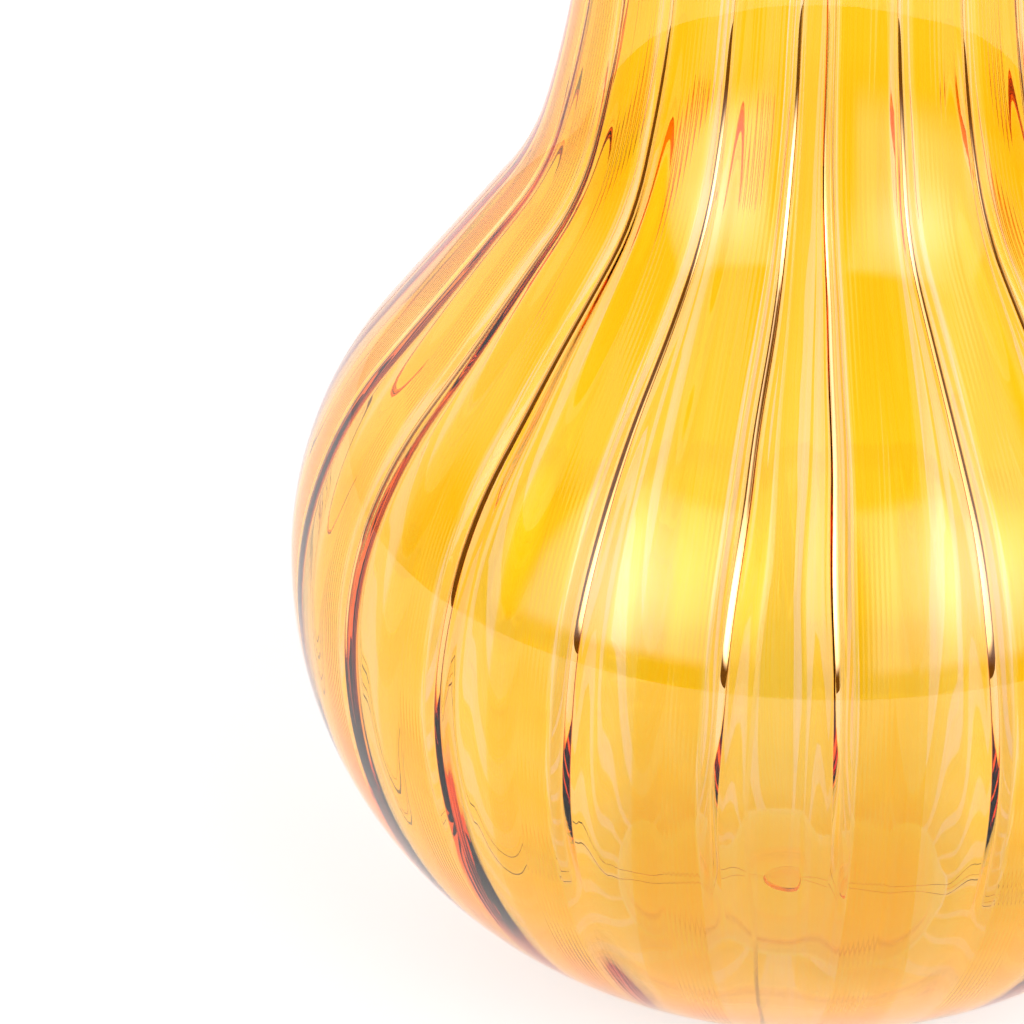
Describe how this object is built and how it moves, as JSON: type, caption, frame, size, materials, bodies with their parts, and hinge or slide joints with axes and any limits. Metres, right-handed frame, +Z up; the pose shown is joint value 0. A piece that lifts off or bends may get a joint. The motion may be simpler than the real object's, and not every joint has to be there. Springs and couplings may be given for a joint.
{
  "type": "hand blown art glass vase",
  "caption": "Round-bodied amber cane-work glass vase with a narrow waist and a flared open lip, for holding cut flowers or for display.",
  "frame": {"origin": "centre of the flat resting face under the base", "axes": "+Z up along the vase's axis, through the mouth; -Y is the front, where the middle of the first web cane lies"},
  "size_m": [0.1966, 0.1966, 0.2601],
  "materials": {
    "casing_glass": "clear, faintly warm glass with a fire-polished gloss",
    "deep_amber_glass": "saturated golden amber glass with fine lengthwise threads",
    "pale_amber_glass": "pale straw amber glass, almost clear",
    "base_amber_glass": "thick orange amber glass, glossy"
  },
  "bodies": {
    "root": {"outer_casing": "casing_glass", "base_gather": "base_amber_glass", "pontil_seal": "base_amber_glass", "lip_wrap": "deep_amber_glass", "rib_cane_01": "deep_amber_glass", "rib_cane_02": "deep_amber_glass", "rib_cane_03": "deep_amber_glass", "rib_cane_04": "deep_amber_glass", "rib_cane_05": "deep_amber_glass", "rib_cane_06": "deep_amber_glass", "rib_cane_07": "deep_amber_glass", "rib_cane_08": "deep_amber_glass", "rib_cane_09": "deep_amber_glass", "rib_cane_10": "deep_amber_glass", "rib_cane_11": "deep_amber_glass", "rib_cane_12": "deep_amber_glass", "rib_cane_13": "deep_amber_glass", "rib_cane_14": "deep_amber_glass", "rib_cane_15": "deep_amber_glass", "rib_cane_16": "deep_amber_glass", "rib_cane_17": "deep_amber_glass", "rib_cane_18": "deep_amber_glass", "rib_cane_19": "deep_amber_glass", "rib_cane_20": "deep_amber_glass", "rib_cane_21": "deep_amber_glass", "rib_cane_22": "deep_amber_glass", "web_cane_01": "pale_amber_glass", "web_cane_02": "pale_amber_glass", "web_cane_03": "pale_amber_glass", "web_cane_04": "pale_amber_glass", "web_cane_05": "pale_amber_glass", "web_cane_06": "pale_amber_glass", "web_cane_07": "pale_amber_glass", "web_cane_08": "pale_amber_glass", "web_cane_09": "pale_amber_glass", "web_cane_10": "pale_amber_glass", "web_cane_11": "pale_amber_glass", "web_cane_12": "pale_amber_glass", "web_cane_13": "pale_amber_glass", "web_cane_14": "pale_amber_glass", "web_cane_15": "pale_amber_glass", "web_cane_16": "pale_amber_glass", "web_cane_17": "pale_amber_glass", "web_cane_18": "pale_amber_glass", "web_cane_19": "pale_amber_glass", "web_cane_20": "pale_amber_glass", "web_cane_21": "pale_amber_glass", "web_cane_22": "pale_amber_glass"}
  },
  "joints": []
}
